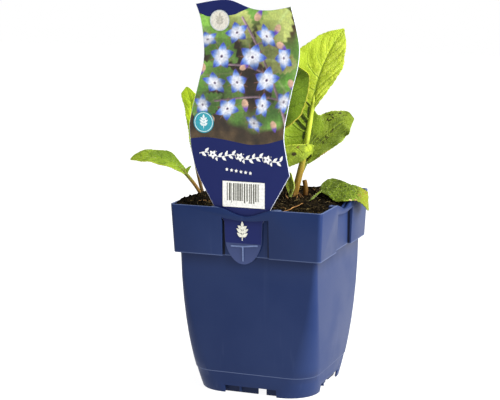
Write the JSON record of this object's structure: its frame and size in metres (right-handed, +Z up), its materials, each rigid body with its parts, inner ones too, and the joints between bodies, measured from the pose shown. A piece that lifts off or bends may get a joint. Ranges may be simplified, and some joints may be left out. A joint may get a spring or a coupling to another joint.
{
  "type": "potted eastern borage",
  "caption": "Young broad-leaved herb growing in a square tapered plastic nursery pot filled with potting compost, with a wavy plastic plant label held in the collar.",
  "frame": {"origin": "on the surface that the pot stands on, under the middle of the pot, at the underside of the hub under its floor", "axes": "+Z up, the side of the pot that holds the label faces -Y, +X to the right of someone who looks at the label"},
  "size_m": [0.1599, 0.11, 0.2738],
  "materials": {
    "pot": "semi-matte moulded dark blue plastic",
    "soil": "rough, moist, nearly black peat compost with brown fibres",
    "label": "smooth printed plastic, dark blue with a bright picture",
    "leaf_light": "soft yellow-green leaf with fine hairs and a net of veins",
    "leaf_mid": "soft mid-green leaf with fine hairs and a net of veins",
    "leaf_dark": "soft mid-green leaf with brown spots and a net of veins",
    "bud": "dull brown-green dried shoot"
  },
  "bodies": {
    "root": {"pot": "pot", "soil": "soil", "label": "label", "leaf_upright": "leaf_light", "leaf_back": "leaf_dark", "leaf_left": "leaf_mid", "leaf_behind_label": "leaf_light", "leaf_over_rim": "leaf_dark", "young_leaf": "leaf_mid", "shoot_stub": "bud"}
  },
  "joints": []
}
